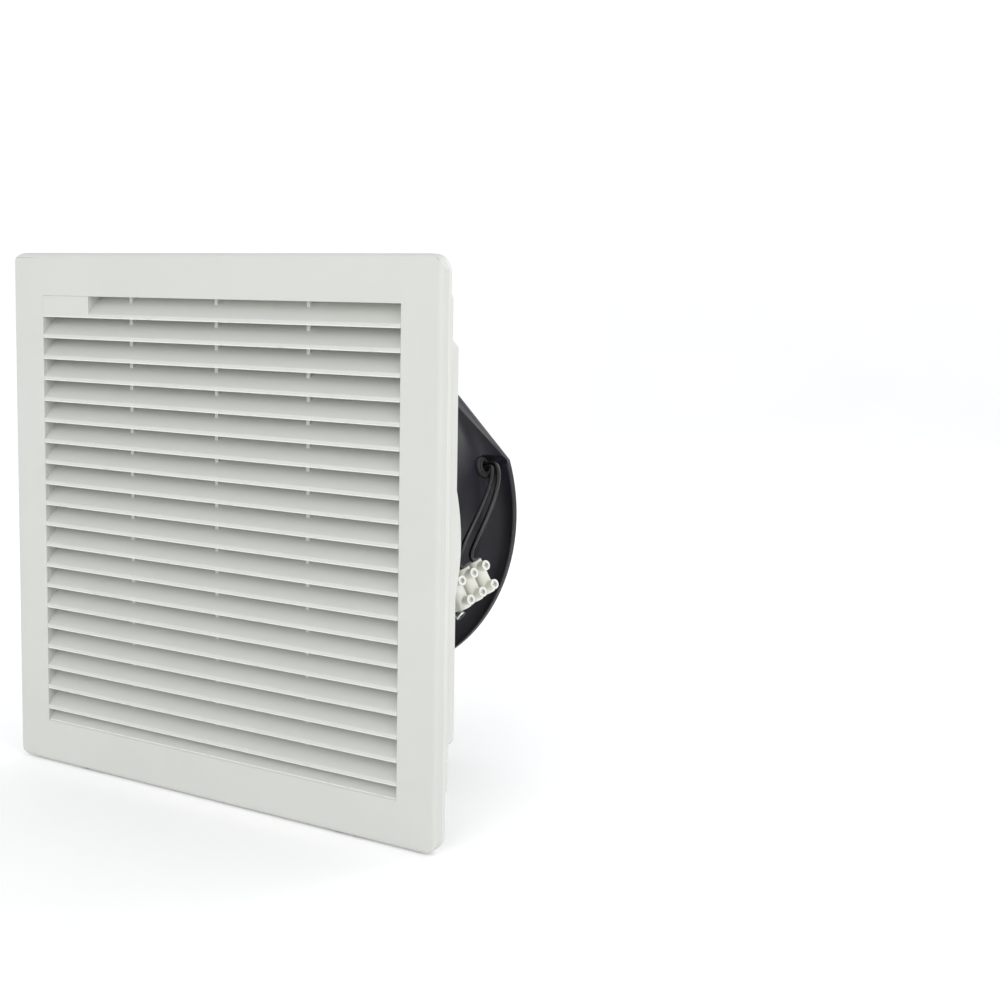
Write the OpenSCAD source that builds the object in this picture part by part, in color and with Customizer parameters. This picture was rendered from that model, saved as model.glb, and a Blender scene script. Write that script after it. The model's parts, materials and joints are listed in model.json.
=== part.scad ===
// Filter fan for a cabinet wall: louvred cover, frame with its mat tray and duct, and an axial fan.
// X runs to the right, Y into the cabinet and Z up. The panel that carries the fan ends at y = 0.

/* [Face] */
// Width and height of the square face
face_w = 325; // [300:1:345]
// Width of the border around the louvred opening
border_w = 26.5; // [24:0.5:32]
// Radius of the corners of the face, seen from the front
face_corner_r = 10; // [6:0.5:18]
// Round along the front edge of the face
face_edge_r = 3; // [1.5:0.1:3.5]
// Depth of the cover from its front to the flange
cover_t = 6; // [5.6:0.1:8]
// Skin of the cover
cover_wall = 2; // [1.6:0.1:2.2]
// Outer skirt of the cover
skirt_t = 2.5; // [2:0.1:3.5]
// Thickness of the stiffening ribs inside the cover
stiffener_t = 1.5; // [1:0.1:2.5]
// Distance between two stiffening ribs
stiffener_pitch = 34; // [24:1:60]

/* [Louvres] */
// Height of one row of louvres
row_pitch = 13.2; // [12.8:0.1:14.2]
// Height of the bright front lip of a slat
lip_h = 2.3; // [1.8:0.1:3.2]
// Thickness of the front lip
lip_t = 1.6; // [1.2:0.1:2.4]
// Thickness of a slat behind its lip
slat_t = 1.5; // [1:0.1:1.6]
// Slope of a slat above the horizontal
slat_angle = 45; // [40:1:50]
// Depth of the louvres behind the face
louvre_depth = 14; // [12:0.5:14.5]
// Wall around the louvres
cage_wall = 2; // [1.5:0.1:2.4]
// Thickness of the three upright ribs between the slats
rib_t = 2.4; // [1:0.1:4]
// Distance of the upright ribs behind the face
rib_recess = 7.5; // [3:0.5:8]
// Width of the closed plate at the upper left
blank_w = 39.5; // [20:0.5:80]
// Thickness of the closed plate
blank_t = 3; // [2.6:0.1:4]

/* [Cover hinge and latch] */
// Distance of each cover hinge from the middle
hinge_x = 100; // [60:1:120]
// Length of the barrel on the cover
hinge_barrel_l = 10; // [6:0.5:20]
// Thickness of an ear on the frame
hinge_ear_t = 4; // [2:0.5:8]
// Outer radius of barrel and ears
hinge_r = 1.8; // [1.5:0.05:1.8]
// Radius of the hinge pin
hinge_pin_r = 0.8; // [0.6:0.05:0.9]
// Height of the two cover latches above the middle
latch_z = 105; // [60:1:115]
// Length of a cover latch
latch_l = 16; // [8:1:24]

/* [Frame] */
// Thickness of the flange in front of the panel
flange_t = 3; // [2.5:0.1:4.5]
// Gap between the louvre cage and the opening in the flange
cage_gap = 2.5; // [2.3:0.1:3]
// Step from the opening in the flange to the outside of the body
body_step = 3.5; // [3:0.1:5]
// Corner radius of the body
body_corner_r = 6; // [4:0.5:12]
// Wall of the frame
body_wall = 2.5; // [2:0.1:3]
// Depth of the square mat tray
tray_depth = 30.4; // [25.5:0.1:34]
// Depth of the eight-sided step
step_depth = 6; // [5:0.5:14]
// Corner cut of the eight-sided step
step_cut = 32; // [20:0.5:36]
// Distance from the side of the body to the round collar
collar_inset = 1.5; // [1:0.1:3]
// Depth of the round collar
collar_depth = 7.5; // [4:0.5:10]
// Depth of the funnel behind the collar
funnel_depth = 29.1; // [24:0.1:40]
// Distance between two bars of the support grid
grid_pitch = 20; // [14:0.5:32]
// Thickness of a grid bar
grid_bar_t = 1.6; // [1:0.1:3]
// Depth of a grid bar
grid_bar_d = 4; // [2:0.1:4.4]
// Width of the panel seal
gasket_w = 8; // [4:0.5:9]
// Thickness of the panel seal
gasket_t = 1.6; // [1:0.1:2]
// Distance of the panel seal from the body
gasket_inset = 4; // [2:0.1:6]
// Height of the slots in the sides
slot_h = 6.5; // [4:0.1:10]
// Width of the slots in the sides
slot_w = 3; // [2:0.1:4]
// Distance of these slots from the rear of the mat tray
slot_inset = 5.4; // [4:0.1:8]

/* [Filter mat] */
// Gap between the mat and the tray around it
mat_gap = 3; // [2.8:0.1:6]

/* [Snap clips] */
// Distance of each snap clip from the middle
clip_x = 70; // [40:1:110]
// Width of a snap clip
clip_w = 20; // [12:0.5:30]
// Distance from the pivot of a clip to its nose
clip_reach = 17.8; // [14:0.1:18]
// Height of the nose above the body
clip_nose_h = 2.5; // [1.8:0.1:3]
// Thickness of the clip's tongue
clip_t = 1.8; // [1.4:0.1:2]
// Radius of a clip pin
clip_pin_r = 0.8; // [0.6:0.05:0.8]

/* [Fan housing] */
// Outer radius of the barrel
barrel_r = 101; // [98:0.5:115]
// Distance from the barrel to the two flats of the fan flanges
flat_margin = 3; // [2:0.1:6]
// Distance from the barrel to the round sides of the fan flanges
corner_margin = 15.5; // [13.5:0.1:17]
// Depth of the fan
fan_depth = 78; // [74:0.5:90]
// Thickness of the fan flanges
fan_flange_t = 4; // [2.5:0.5:5]
// Wall of the barrel
barrel_wall = 3.5; // [2.5:0.1:4]
// Round of the inlet
inlet_r = 3; // [1.5:0.5:4]
// Distance from the barrel to the fan's screws
screw_margin = 8; // [7:0.1:9]
// Radius of the thread of the fan's screws
fan_screw_r = 2.2; // [1.8:0.1:2.6]
// Number of struts that carry the motor
strut_count = 5; // [3:1:7]
// Width of a strut
strut_w = 7; // [4:0.5:10]
// Depth of the struts and of the motor plate
strut_d = 5; // [4:0.5:6]
// Radius of the motor plate
motor_plate_r = 47; // [43:0.5:56]

/* [Motor] */
// Outer radius of the rotor cup
cup_r = 44; // [43:0.5:46]
// Wall of the rotor cup
cup_wall = 2; // [1.5:0.1:2.5]
// Length of the rotor cup
cup_l = 46; // [44:0.5:48]
// Radius of the shaft
shaft_r = 4; // [3:0.1:4.5]
// Outer radius of the bearings
bearing_r = 11; // [9:0.1:12]
// Width of the bearings
bearing_w = 7; // [5:0.5:8]
// Wall of the tube that holds the bearings
bearing_tube_wall = 2; // [1.5:0.1:3]
// Thickness of the iron ring in the rotor cup
rotor_ring_t = 6.9; // [5:0.1:9]
// Length of the stator
stator_l = 26; // [20:0.5:28]
// Number of stator slots
stator_slots = 12; // [8:1:16]
// Air gap between stator and rotor
air_gap = 0.6; // [0.4:0.05:1]

/* [Impeller] */
// Number of blades
blade_count = 7; // [5:1:9]
// Wall of the impeller hub
hub_wall = 2.5; // [1.5:0.1:4]
// Gap between blade tip and barrel
tip_gap = 2.5; // [1.5:0.1:5]
// Thickness of a blade
blade_t = 2; // [1.2:0.1:3]
// Depth of a blade along the axis at the hub
blade_root_d = 38; // [28:0.5:40]
// Depth of a blade along the axis at the tip
blade_tip_d = 26; // [16:0.5:36]
// Angle by which the tip leads the root
blade_sweep = 34; // [10:1:44]
// Angle that a blade covers around the hub
blade_root_angle = 40; // [28:1:44]
// Angle that a blade covers at its tip
blade_tip_angle = 36; // [24:1:42]
// Height of the arch of a blade
blade_camber = 4; // [1:0.5:6]

/* [Connection] */
// Distance between two poles of the terminal strip
pole_pitch = 11; // [9.5:0.1:12]
// Length of a pole
pole_l = 22; // [16:0.5:26]
// Radius of a pole
pole_r = 4.5; // [3.8:0.1:4.7]
// Radius of a brass clamp
clamp_r = 2.6; // [2:0.1:3]
// Radius of the leads
lead_r = 1.5; // [1:0.1:1.6]
// Radius of the cable sleeve
sleeve_r = 2.8; // [2:0.1:3]
// Radius of the grommet's rim
grommet_r = 6.8; // [6.4:0.1:7]

/* [Finger guard] */
// Radius of the wire
wire_r = 1; // [0.8:0.1:1.5]
// Radius of the smallest ring
guard_first_r = 20; // [12:0.5:28]
// Distance between two rings
guard_pitch = 16; // [10:0.5:20]

/* [Hidden] */

$fn = 72;

// Steps of a circle where a small piece is cut to lie against the barrel
fine_fn = 360;

// Clearances: a pin in its bore, a moving piece beside a fixed one, and a cut past a face
pin_clearance = 0.05;
running_gap = 0.3;
cut = 1;

// Widths from the louvred opening outwards to the seal, and inwards to the mat
opening_w = face_w - 2 * border_w;
cage_w = opening_w + 2 * cage_wall;
flange_opening_w = cage_w + 2 * cage_gap;
body_w = flange_opening_w + 2 * body_step;
inner_w = body_w - 2 * body_wall;
inner_corner_r = body_corner_r - body_wall;
gasket_inner_w = body_w + 2 * gasket_inset;
gasket_outer_w = gasket_inner_w + 2 * gasket_w;
mat_w = inner_w - 2 * mat_gap;

// Places along Y, from the front of the cover to the rear of the fan
front_y = -(flange_t + cover_t);
louvre_rear_y = front_y + louvre_depth;
mat_y = louvre_rear_y + running_gap;
grid_y = tray_depth - body_wall - grid_bar_d;
mat_t = grid_y - running_gap - mat_y;
slot_y = tray_depth - slot_inset;
step_y = tray_depth + step_depth;
collar_y = step_y + collar_depth;
fan_y = collar_y + funnel_depth;
fan_rear_y = fan_y + fan_depth;

// Cover hinge: its axis lies as far from the rear as from the lower edge of the cover
hinge_edge_r = 2;
hinge_y = -flange_t - hinge_edge_r;
hinge_z = -face_w / 2 + hinge_edge_r;
hinge_gap = 0.3;
hinge_span = hinge_barrel_l + 2 * (hinge_gap + hinge_ear_t);

// Cover latches: round beads on the louvre cage that snap behind the flange opening
latch_r = cage_gap - running_gap;
latch_y = 2.5;

// Louvre slats: the last row is as high as the rest of the opening
row_count = ceil(opening_w / row_pitch);
slat_drop = slat_t / cos(slat_angle);
slat_rise = louvre_depth * tan(slat_angle);
rib_spacing = opening_w / 4;

// Snap clips
clip_nose_y = 2.2;
clip_pivot_y = clip_nose_y + clip_reach;
clip_pivot_z = body_w / 2 - body_wall / 2;
clip_barrel_r = body_wall / 2;
clip_window_y = 1.2;
clip_slope_l = 9;
clip_pin_seat = 2;
clip_pin_l = clip_w + 2 * (running_gap + clip_pin_seat);
clip_nose_t = 1;

// Duct: collar, funnel and the ring that the fan sits on
collar_r = body_w / 2 - collar_inset;
collar_lip = 1;
duct_r = collar_r - body_wall - collar_lip;
funnel_top_r = collar_r - body_wall;
funnel_wall = 3;
fan_screw_circle_r = barrel_r + screw_margin;
seat_rim = 3.5;
seat_r = fan_screw_circle_r + seat_rim;
seat_t = 4;
throat_r = barrel_r - barrel_wall + inlet_r;
boss_r = 5;
boss_l = 12;

// Fan housing, from the rear flange towards the motor
fan_flat_w = 2 * (barrel_r + flat_margin);
fan_corner_r = barrel_r + corner_margin;
flare_lip = 1;
flare_end_y = fan_rear_y - fan_flange_t - flare_lip;
flare_y = flare_end_y - corner_margin;
strut_inset = 3;
strut_rear_y = fan_rear_y - strut_inset;
strut_y = strut_rear_y - strut_d;
barrel_in_r = barrel_r - barrel_wall;
strut_turn = 18;
strut_lean = 12;

// Motor: its flange lies on the front of the motor plate
motor_flange_t = 4;
motor_flange_r = cup_r - cup_wall;
stator_r = cup_r - cup_wall - rotor_ring_t - air_gap;
motor_flange_y = strut_y - motor_flange_t;
cup_rear_gap = 3;
cup_rear_y = motor_flange_y - cup_rear_gap;
cup_y = cup_rear_y - cup_l;
cup_front_wall = 2.5;
cup_boss_wall = 4;
cup_boss_r = shaft_r + cup_boss_wall;
cup_boss_l = 4.5;
tube_gap = 1;
tube_y = cup_y + cup_front_wall + cup_boss_l + tube_gap;
bearing_ledge = 2;
tube_step_r = bearing_r - bearing_ledge;
tube_r = bearing_r + bearing_tube_wall;
front_bearing_y = tube_y;
rear_bearing_y = motor_flange_y - bearing_w;
stator_shift = 2;
stator_y = (tube_y + motor_flange_y - stator_l) / 2 + stator_shift;
overhang_l = 5;
slot_depth = 12;
slot_mouth_w = 5;
slot_lip = 2;
race_t = 1.8;
race_groove_r = 1.2;
motor_screw_inset = 14;
motor_screw_circle_r = motor_flange_r - motor_screw_inset;
motor_screw_r = 1.5;
ring_groove = 0.8;
ring_t = 1;
ring_rim = 2;
plate_bore_gap = 2;
rotor_ring_overlap = 1;

// Impeller
hub_r = cup_r + hub_wall;
tip_r = barrel_in_r - tip_gap;
hub_y = cup_y;
hub_inset = 4;
hub_l = cup_l - hub_inset;
blade_y = hub_y + hub_l / 2;
blade_stations = 8;
blade_columns = 7;
blade_root_sink = 1;
blade_edge = 0.35;

// Terminal strip: its poles point down and outwards, and its towers away from the barrel
grommet_turn = 18;
grommet_y = motor_flange_y + 1;
terminal_around = -20.5;
terminal_lift = 10.2;
terminal_forward = 31;
terminal_y = grommet_y - terminal_forward;
terminal_turn = [72, -18, 78];
pole_base_h = 5;
tower_r = 3.1;
tower_h = 4.6;
tower_inset = 4.5;
tower_reach = pole_l / 2 - tower_inset;
terminal_screw_r = 1.6;
fixing_screw_r = 1.5;
pillar_r = 4;
pillar_l = 22;
pole_web_l = 8;
pole_web_h = 4;
clamp_inset = 2;
lead_gap = 0.1;
terminal_screw_sink = 1;
slit_w = 0.6;
slit_d = 0.8;

// Leads: angle around the barrel, and distance from the barrel with depth from the grommet
lead_live_turn = [18.5, 18.5, 18.5, 16.8, 12.5, 7, 1, -5, -10.8, -13.4];
lead_live_route = [
    [-11.4, 1.3], [-5, 1.3], [7, 1.3], [12.5, -1.5], [14, -6],
    [13, -12.5], [11, -19.5], [8.8, -25.5], [6.1, -25.7], [9.5, -24.3]
];
lead_neutral_turn = [17.5, 17.5, 17.5, 15.3, 10.5, 4.5, -1.5, -7.5, -12.8, -15.4];
lead_neutral_route = [
    [-11.4, -1.3], [-5, -1.3], [7, -1.6], [10.5, -5.5], [10, -12],
    [8, -20.5], [6.3, -29], [5.2, -35.5], [4.7, -35.9], [8.3, -34.5]
];
lead_sides = 8;
sleeve_end_gap = 8;

// Grommet and earth screw
grommet_wall = 1.6;
grommet_bore_r = grommet_r - 2 * grommet_wall;
grommet_rim_t = 2;
earth_turn = -38;
earth_inset = 14;
earth_y = fan_rear_y - earth_inset;
earth_boss_r = 5;
earth_boss_h = 4;
earth_screw_r = 2;
earth_head_r = 3.8;
screw_head_h = 2.6;
head_round = 1;
cross_w = 1;

// Finger guard: the spokes lie on the rings, sunk into them by a fraction of the wire
weld = 1.7;
wire_sides = 16;
eye_gap = 0.4;

// A flat shape in X and Z, drawn along Y from y to y + depth
module along_y(y, depth) {
    translate([0, y + depth, 0]) rotate([90, 0, 0]) linear_extrude(depth) children();
}

// A flat shape in Y and Z, drawn along X from x to x + span
module along_x(x, span) {
    translate([x, 0, 0]) rotate([90, 0, 90]) linear_extrude(span) children();
}

// A profile of radius and place along Y, turned about the fan's axis
module turned() {
    rotate([-90, 0, 0]) rotate_extrude() children();
}

// A round bar along Y
module bar_y(r, y, l) {
    translate([0, y, 0]) rotate([-90, 0, 0]) cylinder(r = r, h = l);
}

// A round bar along X, centred on x = 0
module bar_x(r, l) {
    rotate([0, 90, 0]) cylinder(r = r, h = l, center = true);
}

// A square with round corners, centred
module rounded_square(w, r) {
    square([w, w - 2 * r], center = true);
    square([w - 2 * r, w], center = true);
    for (x = [-1, 1], y = [-1, 1])
        translate([x * (w / 2 - r), y * (w / 2 - r)]) circle(r);
}

// A square with its corners cut at 45 degrees
module cut_square(w, c) {
    h = w / 2;
    polygon([
        [h - c, -h], [h, c - h], [h, h - c], [h - c, h],
        [c - h, h], [-h, h - c], [-h, c - h], [c - h, -h]
    ]);
}

// A long rectangle whose two corners at x = 0 are round
module edge_profile(depth, span, r) {
    translate([r, -span / 2]) square([depth - r, span]);
    translate([0, r - span / 2]) square([depth, span - 2 * r]);
    for (s = [-1, 1]) translate([r, s * (span / 2 - r)]) circle(r);
}

// Places the children at the four points where the fan is screwed down
module at_fan_corners() {
    for (a = [0 : 90 : 270]) rotate([0, a, 0]) translate([fan_screw_circle_r, 0, 0]) children();
}

// Places the children at the two cover hinges, on the hinge axis
module at_hinges() {
    for (s = [-1, 1]) translate([s * hinge_x, hinge_y, hinge_z]) children();
}

// Upright side of the face: the outline with round corners and round front edges
module face_block() {
    intersection() {
        along_y(front_y, cover_t) rounded_square(face_w, face_corner_r);
        along_x(-face_w / 2, face_w) translate([front_y, 0]) difference() {
            edge_profile(cover_t, face_w, face_edge_r);
            translate([cover_t - hinge_edge_r, -face_w / 2 - cut]) difference() {
                square(hinge_edge_r + cut);
                translate([0, hinge_edge_r + cut]) circle(hinge_edge_r);
            }
        }
        translate([0, front_y, -face_w / 2]) linear_extrude(face_w)
            rotate(90) edge_profile(cover_t, face_w, face_edge_r);
    }
}

// Stiffening ribs between the louvre cage and the outer skirt
module stiffeners() {
    rib_l = (face_w - opening_w) / 2;
    half = floor(opening_w / 2 / stiffener_pitch);
    for (a = [0 : 90 : 270], k = [-half : half])
        rotate([0, a, 0])
            translate([opening_w / 2, front_y, k * stiffener_pitch - stiffener_t / 2])
                cube([rib_l, cover_t, stiffener_t]);
}

// Hollow behind the skin of the cover, with room for the louvre cage
module cover_hollow() {
    difference() {
        along_y(front_y + cover_wall, cover_t)
            rounded_square(face_w - 2 * skirt_t, face_corner_r - skirt_t);
        stiffeners();
    }
    along_y(front_y + cover_wall, cover_t) square(cage_w, center = true);
}

// One slat: a front lip, and a blade that rises behind it
module slat_profile() {
    rear = louvre_depth;
    top = lip_h + slat_rise;
    polygon([
        [0, 0], [0, lip_h], [rear, top], [rear, top - slat_drop],
        [lip_t, lip_h - slat_drop + lip_t * tan(slat_angle)], [lip_t, 0]
    ]);
}

module slats() {
    for (row = [1 : row_count])
        along_x(-cage_w / 2, cage_w)
            translate([front_y, max(opening_w / 2 - row * row_pitch, -opening_w / 2 - lip_h)])
                slat_profile();
}

// Space for the slats: the opening in the skin, and behind it half of the cage's wall as well
module slat_zone() {
    along_y(front_y, louvre_depth) square(opening_w, center = true);
    along_y(front_y + cover_wall, louvre_depth - cover_wall)
        square(opening_w + cage_wall, center = true);
}

module upright_ribs() {
    for (k = [-1 : 1])
        translate([k * rib_spacing - rib_t / 2, front_y + rib_recess, -opening_w / 2 - cage_wall / 2])
            cube([rib_t, louvre_depth - rib_recess, opening_w + cage_wall]);
}

// Closed plate at the upper left, with the end wall of the short first row
module blank_plate() {
    translate([-cage_w / 2, front_y, opening_w / 2 - row_pitch + lip_h / 2]) {
        cube([blank_w + cage_wall, blank_t, row_pitch]);
        translate([blank_w, 0, 0]) cube([cage_wall, louvre_depth, row_pitch]);
    }
}

module front_cover() {
    color("lightgray") difference() {
        union() {
            difference() {
                face_block();
                along_y(front_y - cut, cover_t + 2 * cut) square(opening_w, center = true);
                cover_hollow();
                at_hinges() translate([-hinge_span / 2 - hinge_gap, -hinge_edge_r, -hinge_edge_r - cut])
                    cube([hinge_span + 2 * hinge_gap, cover_t, 2 * hinge_edge_r + 2 * cut]);
            }
            at_hinges() {
                bar_x(hinge_r, hinge_barrel_l);
                translate([-hinge_barrel_l / 2, -hinge_edge_r, -hinge_r])
                    cube([hinge_barrel_l, hinge_edge_r, 2 * hinge_r]);
            }
        }
        at_hinges() bar_x(hinge_pin_r + pin_clearance, hinge_span);
    }
}

// Slats, upright ribs and the cage around them, with the latch beads on its sides
module louvre_grille() {
    color("lightgray") {
        along_y(front_y + cover_wall, louvre_depth - cover_wall) difference() {
            square(cage_w, center = true);
            square(opening_w, center = true);
        }
        intersection() {
            slat_zone();
            union() {
                slats();
                blank_plate();
            }
        }
        upright_ribs();
        for (s = [-1, 1]) translate([s * cage_w / 2, latch_y, latch_z])
            cylinder(r = latch_r, h = latch_l, center = true);
    }
}

module filter_mat() {
    color("gainsboro") along_y(mat_y, mat_t) rounded_square(mat_w, inner_corner_r);
}

// Collar, funnel and the ring that the fan sits on
module funnel() {
    turned() polygon([
        [duct_r, step_y - body_wall], [collar_r, step_y - body_wall], [collar_r, collar_y],
        [funnel_top_r, collar_y], [seat_r, fan_y - seat_t], [seat_r, fan_y], [throat_r, fan_y],
        [throat_r, fan_y - seat_t], [seat_r - funnel_wall, fan_y - seat_t],
        [duct_r, collar_y]
    ]);
}

// Bars that the mat rests on
module support_grid() {
    bar_l = inner_w + 2 * cut;
    half = floor(inner_w / 2 / grid_pitch);
    color("whitesmoke") intersection() {
        along_y(grid_y, grid_bar_d) rounded_square(inner_w, inner_corner_r);
        for (k = [-half : half], a = [0, 90]) rotate([0, a, 0])
            translate([k * grid_pitch - grid_bar_t / 2, grid_y - cut, -bar_l / 2])
                cube([grid_bar_t, grid_bar_d + 2 * cut, bar_l]);
    }
}

// Round bosses for the fan's screws, inside the funnel
module screw_bosses() {
    at_fan_corners() bar_y(boss_r, fan_y - boss_l, boss_l);
}

// Places the children at the four snap clips; the shape is drawn for the upper right one
module at_clips() {
    for (s = [-1, 1], t = [0, 180]) rotate([0, t, 0]) translate([s * clip_x, 0, 0]) children();
}

module clip_window() {
    translate([-clip_w / 2 - running_gap, clip_window_y, body_w / 2 - body_wall - cut])
        cube([
            clip_w + 2 * running_gap,
            clip_pivot_y + clip_barrel_r + running_gap - clip_window_y,
            body_wall + 2 * cut
        ]);
}

// Slot in each side of the mat tray, level with the cover latches
module side_slots() {
    for (s = [-1, 1]) translate([s * body_w / 2, slot_y, latch_z]) {
        for (e = [-1, 1]) translate([0, 0, e * (slot_h - slot_w) / 2])
            bar_x(slot_w / 2, 4 * body_wall);
        cube([4 * body_wall, slot_w, slot_h - slot_w], center = true);
    }
}

// Ring of the panel seal, also the shape of its groove
module seal_ring(depth) {
    along_y(-gasket_t, depth) difference() {
        rounded_square(gasket_outer_w, face_corner_r);
        rounded_square(gasket_inner_w, face_corner_r);
    }
}

// Flange in front of the panel, with the ears of the cover hinges
module mounting_flange() {
    color("whitesmoke") difference() {
        union() {
            along_y(-flange_t, flange_t) difference() {
                rounded_square(face_w, face_corner_r);
                rounded_square(flange_opening_w, inner_corner_r);
            }
            at_hinges() for (s = [-1, 1])
                translate([s * (hinge_barrel_l / 2 + hinge_gap + hinge_ear_t / 2), 0, 0]) {
                    bar_x(hinge_r, hinge_ear_t);
                    translate([-hinge_ear_t / 2, 0, -hinge_r])
                        cube([hinge_ear_t, hinge_edge_r + cut, 2 * hinge_r]);
                }
        }
        seal_ring(gasket_t + cut);
        at_hinges() bar_x(hinge_pin_r, hinge_span + cut);
    }
}

// Square body behind the panel: it holds the mat and the clips
module mat_tray() {
    color("whitesmoke") difference() {
        along_y(0, tray_depth) rounded_square(body_w, body_corner_r);
        along_y(-cut, tray_depth - body_wall + cut) rounded_square(inner_w, inner_corner_r);
        along_y(0, tray_depth + cut) cut_square(inner_w, step_cut);
        at_clips() {
            clip_window();
            translate([0, clip_pivot_y, clip_pivot_z]) bar_x(clip_pin_r, clip_pin_l);
        }
        side_slots();
    }
}

// Eight-sided step, round collar and funnel that lead the air to the fan
module fan_duct() {
    color("whitesmoke") difference() {
        union() {
            difference() {
                along_y(tray_depth, step_depth) cut_square(body_w, step_cut);
                along_y(tray_depth - cut, step_depth - body_wall + cut)
                    cut_square(inner_w, step_cut);
                bar_y(duct_r, step_y - body_wall - cut, body_wall + 2 * cut);
            }
            funnel();
            screw_bosses();
        }
        at_fan_corners() bar_y(fan_screw_r, fan_y - boss_l - cut, boss_l + 2 * cut);
    }
}

module panel_gasket() {
    color("dimgray") seal_ring(gasket_t);
}

module hinge_pins() {
    color("silver") at_hinges() bar_x(hinge_pin_r, hinge_span);
}

// A snap clip in the upper wall: a barrel on its pin, a tongue and a nose that holds the panel
module snap_clip() {
    outer_z = body_w / 2;
    difference() {
        translate([-clip_w / 2, 0, 0]) {
            translate([clip_w / 2, clip_pivot_y, clip_pivot_z]) bar_x(clip_barrel_r, clip_w);
            along_x(0, clip_w) polygon([
                [clip_nose_y, outer_z - clip_t], [clip_pivot_y, outer_z - clip_t],
                [clip_pivot_y, outer_z], [clip_nose_y + clip_slope_l, outer_z],
                [clip_nose_y + clip_nose_t, outer_z + clip_nose_h], [clip_nose_y, outer_z + clip_nose_h]
            ]);
        }
        translate([0, clip_pivot_y, clip_pivot_z]) bar_x(clip_pin_r + pin_clearance, clip_w + cut);
    }
}

module snap_clip_upper_left() {
    color("ivory") translate([-clip_x, 0, 0]) snap_clip();
}

module snap_clip_upper_right() {
    color("ivory") translate([clip_x, 0, 0]) snap_clip();
}

module snap_clip_lower_left() {
    color("ivory") rotate([0, 180, 0]) translate([clip_x, 0, 0]) snap_clip();
}

module snap_clip_lower_right() {
    color("ivory") rotate([0, 180, 0]) translate([-clip_x, 0, 0]) snap_clip();
}

module clip_pins() {
    color("silver") at_clips()
        translate([0, clip_pivot_y, clip_pivot_z]) bar_x(clip_pin_r, clip_pin_l);
}

// Outline of the fan flanges: a square on its corner, with the corners rounded to a circle
module fan_outline() {
    intersection() {
        circle(fan_corner_r);
        rotate(45) square([fan_flat_w, 3 * fan_corner_r], center = true);
    }
}

// Places the children on a strut, from the axis outwards along X
module at_struts() {
    for (k = [0 : strut_count - 1]) rotate([0, -strut_turn - k * 360 / strut_count, 0]) children();
}

module struts() {
    root_r = motor_plate_r - strut_w;
    intersection() {
        bar_y(barrel_in_r - pin_clearance, strut_y, strut_d);
        at_struts() translate([root_r, strut_y, 0]) rotate([0, strut_lean, 0])
            translate([0, 0, -strut_w / 2]) cube([barrel_r, strut_d, strut_w]);
    }
}

// Places the children at the base of the terminal strip, Z pointing away from the barrel
module at_terminal() {
    reach = barrel_r + terminal_lift;
    translate([reach * cos(terminal_around), terminal_y, reach * sin(terminal_around)])
        rotate(terminal_turn) children();
}

// Places the children on the barrel at the earth screw, X pointing outwards
module at_earth() {
    rotate([0, -earth_turn, 0]) translate([barrel_r, earth_y, 0]) children();
}

// Hollow curve from the barrel out to the rear flange, clear of the grommet and the earth boss
module rear_flare() {
    difference() {
        turned() difference() {
            translate([barrel_in_r, flare_y])
                square([barrel_wall + corner_margin + cut, corner_margin + flare_lip]);
            translate([fan_corner_r, flare_y]) circle(corner_margin);
        }
        at_grommet() rotate([0, 90, 0])
            cylinder(r = grommet_r + running_gap, h = 4 * corner_margin, center = true);
        at_earth() rotate([0, 90, 0])
            cylinder(r = earth_boss_r + pin_clearance, h = 4 * corner_margin, center = true);
    }
}

// Tube of the fan, round at its inlet, with the hole that the leads come out of
module fan_barrel() {
    color([0.08, 0.08, 0.09]) difference() {
        union() {
            bar_y(barrel_r, fan_y, fan_depth);
            intersection() {
                rear_flare();
                along_y(flare_y, corner_margin + flare_lip) fan_outline();
            }
        }
        bar_y(barrel_in_r, fan_y - cut, fan_depth + 2 * cut);
        turned() difference() {
            translate([barrel_in_r - cut, fan_y - cut]) square(inlet_r + cut);
            translate([barrel_in_r + inlet_r, fan_y + inlet_r]) circle(inlet_r);
        }
        at_grommet() rotate([0, 90, 0])
            cylinder(r = grommet_bore_r + grommet_wall, h = 4 * barrel_wall, center = true);
    }
}

// Flange around the barrel, with a hole in each corner
module fan_flange(y) {
    color([0.08, 0.08, 0.09]) difference() {
        along_y(y, fan_flange_t) fan_outline();
        bar_y(barrel_r + pin_clearance, y - cut, fan_flange_t + 2 * cut);
        at_fan_corners() bar_y(fan_screw_r + pin_clearance, y - cut, fan_flange_t + 2 * cut);
    }
}

module fan_front_flange() {
    fan_flange(fan_y);
}

module fan_rear_flange() {
    fan_flange(fan_rear_y - fan_flange_t);
}

// Pillar under the terminal strip, and the boss of the earth screw
module fan_bosses() {
    color([0.08, 0.08, 0.09]) difference() {
        union() {
            at_terminal() translate([0, 0, -pillar_l]) cylinder(r = pillar_r, h = pillar_l);
            at_earth() translate([-cut, 0, 0]) rotate([0, 90, 0])
                cylinder(r = earth_boss_r, h = earth_boss_h + cut);
        }
        bar_y(barrel_r + pin_clearance, fan_y, fan_depth, $fn = fine_fn);
        at_terminal() translate([0, 0, -pillar_l / 2])
            cylinder(r = fixing_screw_r, h = pillar_l);
        at_earth() rotate([0, 90, 0]) cylinder(r = earth_screw_r, h = earth_boss_h + cut);
    }
}

// Plate that carries the motor, and the struts that hold it in the barrel
module motor_bracket() {
    color([0.08, 0.08, 0.09]) difference() {
        union() {
            struts();
            bar_y(motor_plate_r, strut_y, strut_d);
        }
        at_motor_screws() bar_y(motor_screw_r + pin_clearance, strut_y - cut, strut_d + 2 * cut);
        bar_y(shaft_r + plate_bore_gap, strut_y - cut, strut_d + 2 * cut);
    }
}

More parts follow.
